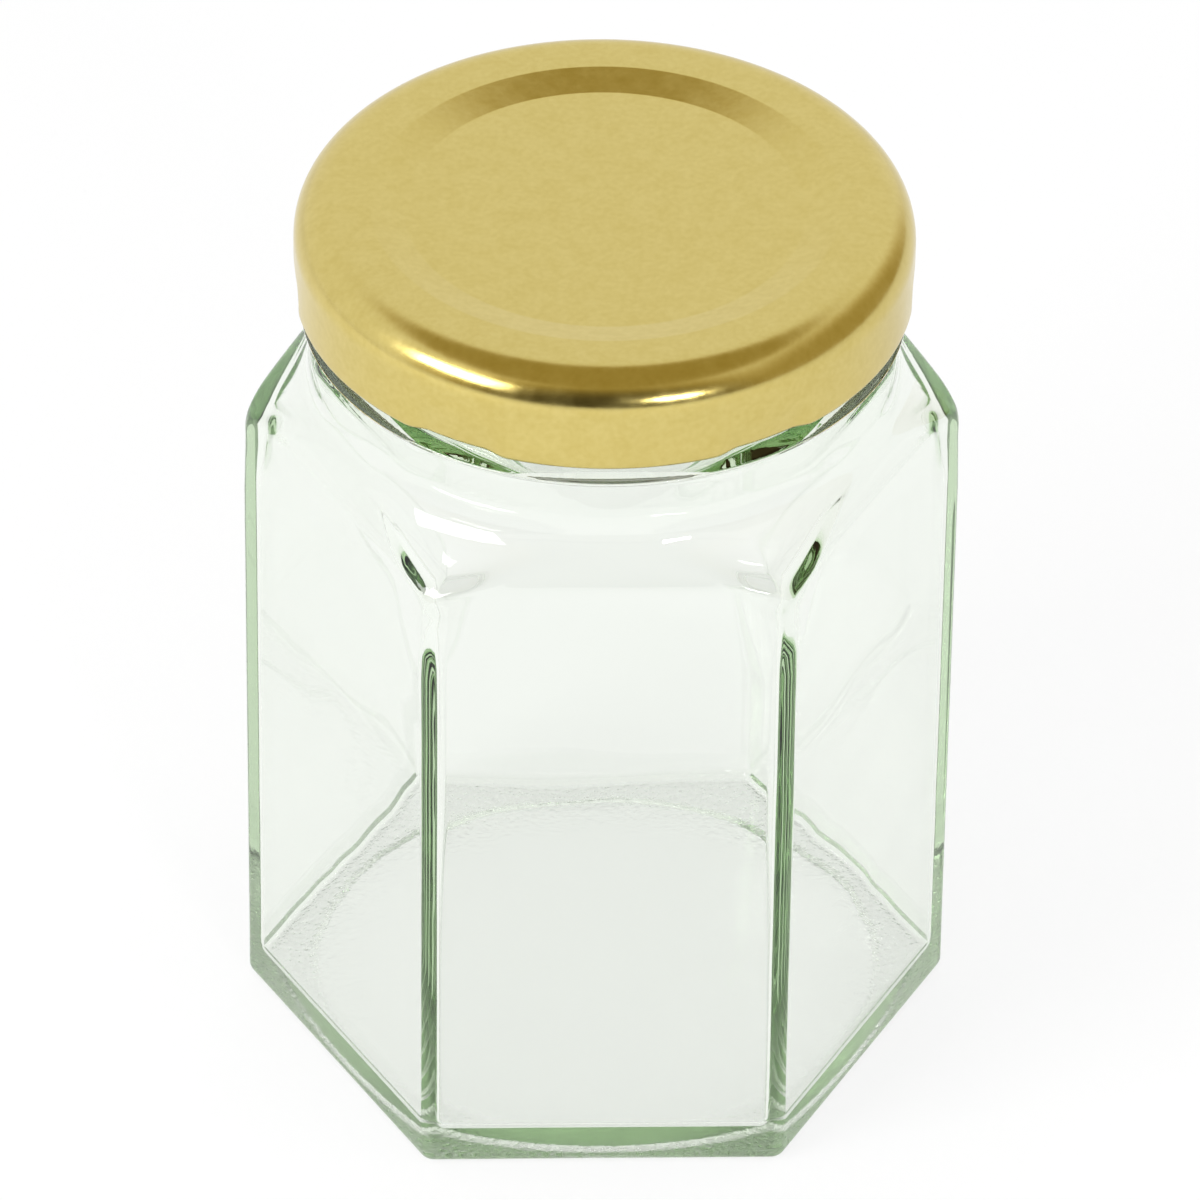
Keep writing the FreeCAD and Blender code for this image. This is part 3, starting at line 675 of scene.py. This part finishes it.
# A level square that takes the jar's shadow and glows white to the camera, and in metal and glass.
def buildFloor(stage):
    half = stage["floorHalf"]
    corners = [(-half, -half, 0), (half, -half, 0), (half, half, 0), (-half, half, 0)]
    mesh = bpy.data.meshes.new("floor")
    mesh.from_pydata(corners, [], [(0, 1, 2, 3)])
    floor = bpy.data.objects.new("floor", mesh)
    floor.location.z = -stage["floorDrop"]
    scene.collection.objects.link(floor)
    material, tree, shader, out = newMaterial("floorWhite")
    shader.inputs["Base Color"].default_value = stage["floorColour"]
    shader.inputs["Roughness"].default_value = 0.9
    shader.inputs["Specular IOR Level"].default_value = 0.0
    rays = addNode(tree, "ShaderNodeLightPath").outputs
    seen = mathNode(tree, "MAXIMUM", rays["Is Camera Ray"], rays["Is Glossy Ray"])
    seen = mathNode(tree, "MAXIMUM", seen, rays["Is Transmission Ray"])
    onMetal = mathNode(tree, "SUBTRACT", rays["Is Glossy Ray"], rays["Is Transmission Ray"], use_clamp=True)
    share = mathNode(tree, "MULTIPLY", seen, stage["floorGlow"])
    share = mathNode(tree, "SUBTRACT", share, mathNode(tree, "MULTIPLY", onMetal, stage["floorDim"]))
    glow = addNode(tree, "ShaderNodeEmission", {"Color": (1, 1, 1, 1), "Strength": 1.0})
    both = addNode(tree, "ShaderNodeMixShader", {0: share, 1: shader.outputs[0], 2: glow.outputs[0]})
    tree.links.new(both.outputs[0], out.inputs["Surface"])
    floor.data.materials.append(material)


# A rectangular lamp on a sphere round the jar: azimuth from the front, elevation from level.
def addSoftbox(name, lampSizes, aim):
    data = bpy.data.lights.new(name, "AREA")
    data.shape = "RECTANGLE"
    data.size, data.size_y = lampSizes["size"]
    data.energy = lampSizes["power"]
    lamp = bpy.data.objects.new(name, data)
    turn, rise = np.radians(lampSizes["azimuth"]), np.radians(lampSizes["elevation"])
    way = Vector((np.sin(turn) * np.cos(rise), -np.cos(turn) * np.cos(rise), np.sin(rise)))
    lamp.location = Vector((0, 0, aim)) + way * lampSizes["distance"]
    lamp.rotation_mode = "QUATERNION"
    lamp.rotation_quaternion = way.to_track_quat("Z", "Y")
    scene.collection.objects.link(lamp)


# The world is an even light. The camera sees plain white in it, and what metal and glass mirror
# is white too, but dimmer and warmer overhead, to the right and low in front.
def buildWorld(stage):
    world = bpy.data.worlds.new("studio")
    scene.world = world
    world.use_nodes = True
    tree = world.node_tree
    tree.nodes.clear()
    out = tree.nodes.new("ShaderNodeOutputWorld")
    way = addNode(tree, "ShaderNodeTexCoord").outputs["Generated"]
    split = addNode(tree, "ShaderNodeSeparateXYZ", {0: way}).outputs
    smooth = {"interpolation_type": "SMOOTHSTEP"}
    high = mapNode(tree, split["Z"], stage["overheadFrom"], (1.0, stage["overhead"]), **smooth)
    forward = mapNode(tree, split["Y"], stage["frontFrom"], (stage["frontLow"], 1.0), **smooth)
    side = mapNode(tree, split["X"], stage["rightFrom"], (1.0, stage["rightSide"]), **smooth)
    level = mathNode(tree, "MINIMUM", mathNode(tree, "MINIMUM", high, forward), side)
    warmth = mapNode(tree, level, (stage["overhead"], 1.0), (0.0, 1.0))
    warm = blendNode(tree, warmth, stage["dimColour"], (1, 1, 1, 1))
    sky = addNode(tree, "ShaderNodeBackground", {"Color": (1, 1, 1, 1), "Strength": stage["fillLevel"]})
    mirrored = addNode(tree, "ShaderNodeBackground", {"Color": warm, "Strength": level})
    seen = addNode(tree, "ShaderNodeBackground", {"Color": (1, 1, 1, 1), "Strength": 1.0})
    rays = addNode(tree, "ShaderNodeLightPath").outputs
    direct = mathNode(tree, "MAXIMUM", rays["Is Camera Ray"], rays["Is Transmission Ray"])
    byGlossy = {0: rays["Is Glossy Ray"], 1: sky.outputs[0], 2: mirrored.outputs[0]}
    lit = addNode(tree, "ShaderNodeMixShader", byGlossy)
    whole = addNode(tree, "ShaderNodeMixShader", {0: direct, 1: lit.outputs[0], 2: seen.outputs[0]})
    tree.links.new(whole.outputs[0], out.inputs["Surface"])


buildFloor(studio)
for lampName, lampSettings in studio["lamps"].items():
    addSoftbox(lampName, lampSettings, studio["lampAim"])
buildWorld(studio)
scene.view_settings.view_transform = "Standard"
scene.cycles.max_bounces = studio["lightBounces"]
scene.cycles.transmission_bounces = studio["lightBounces"]
scene.cycles.glossy_bounces = studio["lightBounces"]
print("floor and light set")


cameraView = {
    "azimuth": -1.826,         # degrees from the front, to the left
    "elevation": 37.791,
    "distance": 1196.3,        # from the point that it circles, on the jar's axis
    "aimHeight": 46.44,
    "pitch": -0.197,           # of the view against the line to that point, degrees
    "roll": 0.742,
    "lens": 330.24,
    "sensor": 36.0,
    "clip": (0.05, 20.0),      # metres
}


# The camera stands on a sphere round a point of the axis and looks along its own pitch, with its
# picture rolled about the line of sight.
def buildCamera(view):
    azimuth, elevation = np.radians(view["azimuth"]), np.radians(view["elevation"])
    pitch, roll = np.radians(view["elevation"] + view["pitch"]), np.radians(view["roll"])
    place = np.array([
        view["distance"] * np.cos(elevation) * np.sin(azimuth),
        -view["distance"] * np.cos(elevation) * np.cos(azimuth),
        view["aimHeight"] + view["distance"] * np.sin(elevation),
    ]) * mm
    forward = np.array([-np.cos(pitch) * np.sin(azimuth), np.cos(pitch) * np.cos(azimuth), -np.sin(pitch)])
    right = np.array([np.cos(azimuth), np.sin(azimuth), 0.0])
    upward = np.cross(right, forward)
    across = np.cos(roll) * right + np.sin(roll) * upward
    upright = -np.sin(roll) * right + np.cos(roll) * upward
    data = bpy.data.cameras.new("camera")
    data.lens = view["lens"]
    data.sensor_width = view["sensor"]
    data.clip_start, data.clip_end = view["clip"]
    camera = bpy.data.objects.new("camera", data)
    turn = Matrix((across, upright, -forward)).transposed().to_4x4()
    camera.matrix_world = Matrix.Translation(Vector(place)) @ turn
    scene.collection.objects.link(camera)
    scene.camera = camera


buildCamera(cameraView)
print("camera set")
